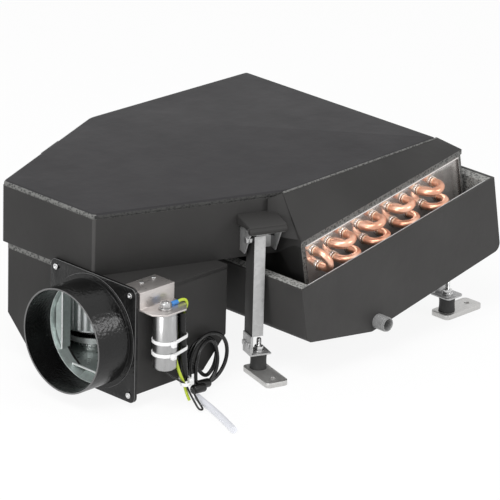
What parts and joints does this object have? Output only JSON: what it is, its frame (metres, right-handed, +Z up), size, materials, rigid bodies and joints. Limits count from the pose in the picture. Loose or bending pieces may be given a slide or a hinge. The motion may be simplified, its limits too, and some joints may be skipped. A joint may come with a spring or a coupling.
{
  "type": "air handler",
  "caption": "Foam-clad air handler with a tilted finned coil over a drain pan, a scroll fan with a round duct collar, a run capacitor and feet on rubber buffers.",
  "frame": {"origin": "on the floor, under the middle of the part's outline without its cords", "axes": "+X from the duct outlet to the far end of the pan, +Y away from the return bends, +Z up"},
  "size_m": [0.5778, 0.4997, 0.215],
  "materials": {
    "black_foam": "satin closed-cell foam",
    "black_plastic": "satin, moulded",
    "pale_plastic": "moulded, with fine rings",
    "collar_plastic": "glossy, fine orange peel",
    "galvanised": "galvanised sheet with a faint spangle",
    "zinc": "bright zinc plate",
    "foot_steel": "dull zinc",
    "aluminium": "bright rolled sheet",
    "fins": "thin pressed fins",
    "copper": "bright drawn copper",
    "motor_black": "semi-gloss",
    "impeller_steel": "galvanised",
    "can_metal": "satin can",
    "buffer_rubber": "matte rubber",
    "terminal_blue": "glossy sleeve",
    "tie_white": "glossy nylon",
    "cable_black": "glossy sheath",
    "earth_sleeve": "glossy sheath with two colours",
    "sleeve_white": "matte sleeve"
  },
  "bodies": {
    "casing": {"black_wire": "cable_black", "blower_box_foam": "black_foam", "bracket_rivets": "zinc", "cable_ends": "cable_black", "can_tie_lower": "tie_white", "can_tie_upper": "tie_white", "capacitor_bracket": "galvanised", "capacitor_can": "can_metal", "capacitor_nut": "zinc", "coil_cover_foam": "black_foam", "coil_fin_pack": "fins", "coil_posts": "black_plastic", "drain_pan": "black_plastic", "drain_spigot_far": "pale_plastic", "drain_spigot_near": "pale_plastic", "duct_flange": "collar_plastic", "earth_wire": "earth_sleeve", "fan_inlet_ring": "galvanised", "flange_screws": "zinc", "foot_bracket_far": "galvanised", "foot_bracket_near": "galvanised", "foot_stud_front_far": "zinc", "foot_stud_front_near": "zinc", "foot_stud_rear_far": "zinc", "foot_stud_rear_near": "zinc", "front_leg_far": "galvanised", "front_leg_near": "galvanised", "label_sleeve": "sleeve_white", "leg_bolts_far": "zinc", "leg_bolts_near": "zinc", "leg_bracket_far": "galvanised", "leg_bracket_near": "galvanised", "leg_hood_foam_far": "black_foam", "leg_hood_foam_near": "black_foam", "loop_tie": "tie_white", "motor_base": "zinc", "pan_end_foam": "black_foam", "plenum_floor_plate": "galvanised", "plenum_foam": "black_foam", "plenum_top_foam": "black_foam", "rear_bracket_far": "galvanised", "rear_bracket_near": "galvanised", "return_bends": "copper", "ring_terminal": "terminal_blue", "rubber_buffer_front_far": "buffer_rubber", "rubber_buffer_front_near": "buffer_rubber", "rubber_buffer_rear_far": "buffer_rubber", "rubber_buffer_rear_near": "buffer_rubber", "scroll_floor": "galvanised", "scroll_wall": "galvanised", "supply_cable": "cable_black", "tube_sheet_far": "aluminium", "tube_sheet_near": "aluminium", "wire_conduit": "cable_black"},
    "fan": {"motor_rotor": "motor_black", "impeller": "impeller_steel"},
    "foot_front_near": {"foot_plate_front_near": "foot_steel"},
    "foot_front_far": {"foot_plate_front_far": "foot_steel"},
    "foot_rear_near": {"foot_plate_rear_near": "foot_steel"},
    "foot_rear_far": {"foot_plate_rear_far": "foot_steel"}
  },
  "joints": [
    {"name": "fan_spin", "type": "hinge", "parent": "casing", "child": "fan", "pos_m": [-0.164, 0.006, 0.06], "axis": [0, 0, 1], "continuous": true},
    {"name": "foot_swivel_front_near", "type": "hinge", "parent": "casing", "child": "foot_front_near", "pos_m": [-0.0556, -0.15528, 0.003], "axis": [0, 0, 1], "continuous": true},
    {"name": "foot_swivel_front_far", "type": "hinge", "parent": "casing", "child": "foot_front_far", "pos_m": [-0.0556, 0.17928, 0.003], "axis": [0, 0, 1], "continuous": true},
    {"name": "foot_swivel_rear_near", "type": "hinge", "parent": "casing", "child": "foot_rear_near", "pos_m": [0.239, -0.183, 0.003], "axis": [0, 0, 1], "continuous": true},
    {"name": "foot_swivel_rear_far", "type": "hinge", "parent": "casing", "child": "foot_rear_far", "pos_m": [0.239, 0.183, 0.003], "axis": [0, 0, 1], "continuous": true}
  ]
}
